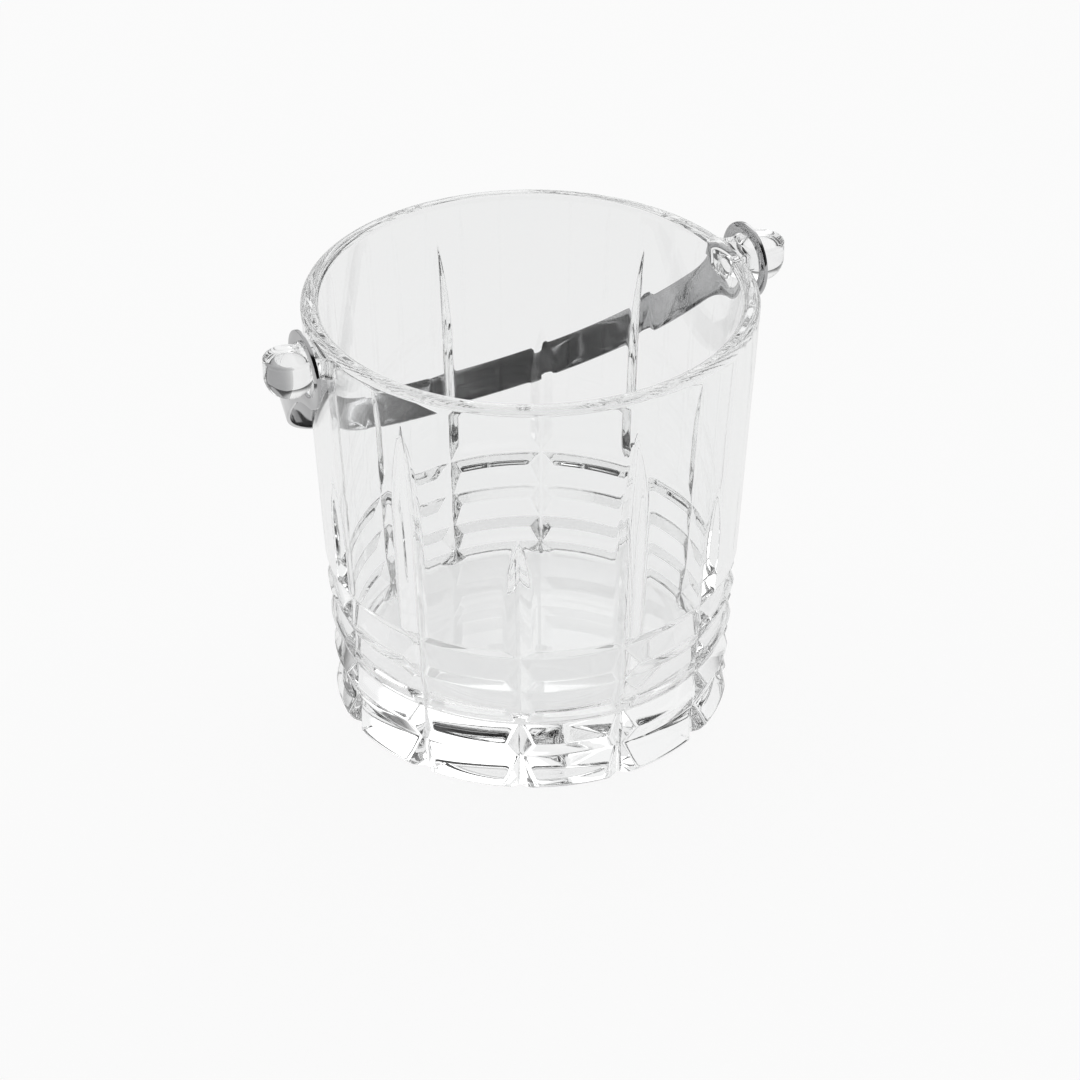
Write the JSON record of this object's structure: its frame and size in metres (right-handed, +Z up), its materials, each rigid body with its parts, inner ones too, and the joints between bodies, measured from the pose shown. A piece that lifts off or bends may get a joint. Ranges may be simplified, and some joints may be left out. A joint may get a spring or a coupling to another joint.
{
  "type": "ice bucket",
  "caption": "Clear pressed-glass ice bucket with stepped lower bands and pointed upright mitre cuts, carried by a polished strip bail that swings on glass side knobs.",
  "frame": {"origin": "centre of the flat underside, on the table", "axes": "+X along the line through the two side knobs, +Y toward the side where the bail rests, +Z up"},
  "size_m": [0.176, 0.1444, 0.1462],
  "materials": {
    "clear_glass": "fire polished",
    "polished_steel": "mirror polished"
  },
  "bodies": {
    "bucket": {"glass_bucket": "clear_glass"},
    "bail": {"bail_handle": "polished_steel"}
  },
  "joints": [
    {"name": "bail_swing", "type": "hinge", "parent": "bucket", "child": "bail", "pos_m": [0, 0, 0.13393], "axis": [1, 0, 0], "range_deg": [0, 264]}
  ]
}
